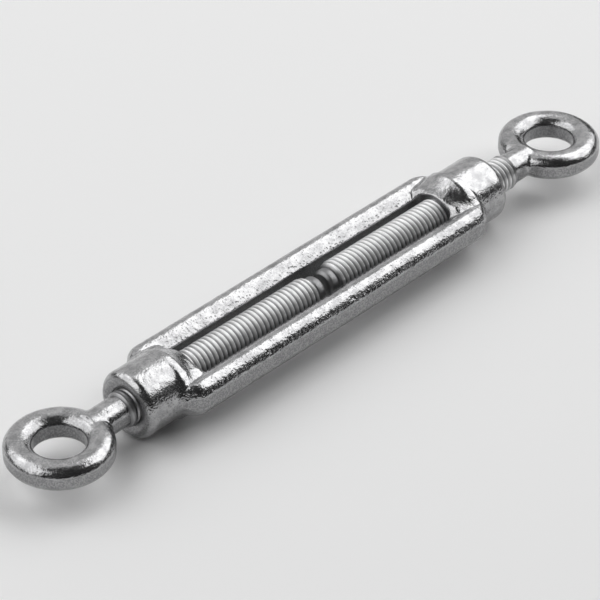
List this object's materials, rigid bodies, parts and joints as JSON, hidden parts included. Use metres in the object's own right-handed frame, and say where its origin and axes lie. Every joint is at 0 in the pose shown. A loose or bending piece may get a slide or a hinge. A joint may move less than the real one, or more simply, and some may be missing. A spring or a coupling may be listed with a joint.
{
  "type": "rigging turnbuckle",
  "caption": "Open-body rigging turnbuckle: a forged frame with two collars and rails, and a threaded eye bolt of opposite hand screwed into each end.",
  "frame": {"origin": "on the screw axis, midway between the centres of the two eyes, which is the middle of the bounding box", "axes": "+X along the screw axis towards the right-hand-threaded end, +Z square to the plane of the two rails and the two eyes, +Y across the rails"},
  "size_m": [0.173, 0.0226, 0.0152],
  "materials": {
    "body_zinc": "bright zinc plate over a drop forging: pitted forged skin, smooth trimmed parting band",
    "bolt_zinc": "bright zinc plate over a forged eye and shank, smooth trimmed parting band",
    "thread_zinc": "bright zinc plate over a rolled thread"
  },
  "bodies": {
    "turnbuckle_body": {"turnbuckle_body": "body_zinc"},
    "left_travel": {"left_rod_point": "thread_zinc"},
    "left_eye": {"left_eye_bolt": "bolt_zinc"},
    "right_travel": {"right_rod_point": "thread_zinc"},
    "right_eye": {"right_eye_bolt": "bolt_zinc"}
  },
  "joints": [
    {"name": "left_screw_travel", "type": "slide", "parent": "turnbuckle_body", "child": "left_travel", "axis": [-1, 0, 0], "range_m": [-0.0006, 0.04]},
    {"name": "left_screw_turn", "type": "hinge", "parent": "left_travel", "child": "left_eye", "pos_m": [-0.07515, 0, 0], "axis": [1, 0, 0], "range_deg": [-173, 11520.2]},
    {"name": "right_screw_travel", "type": "slide", "parent": "turnbuckle_body", "child": "right_travel", "axis": [1, 0, 0], "range_m": [-0.0006, 0.035]},
    {"name": "right_screw_turn", "type": "hinge", "parent": "right_travel", "child": "right_eye", "pos_m": [0.07515, 0, 0], "axis": [1, 0, 0], "range_deg": [-173, 10080.2]}
  ],
  "couplings": [
    {"joint": "left_screw_turn", "follows": "left_screw_travel", "rad_per_m": 5026.5},
    {"joint": "right_screw_turn", "follows": "right_screw_travel", "rad_per_m": 5026.5}
  ]
}
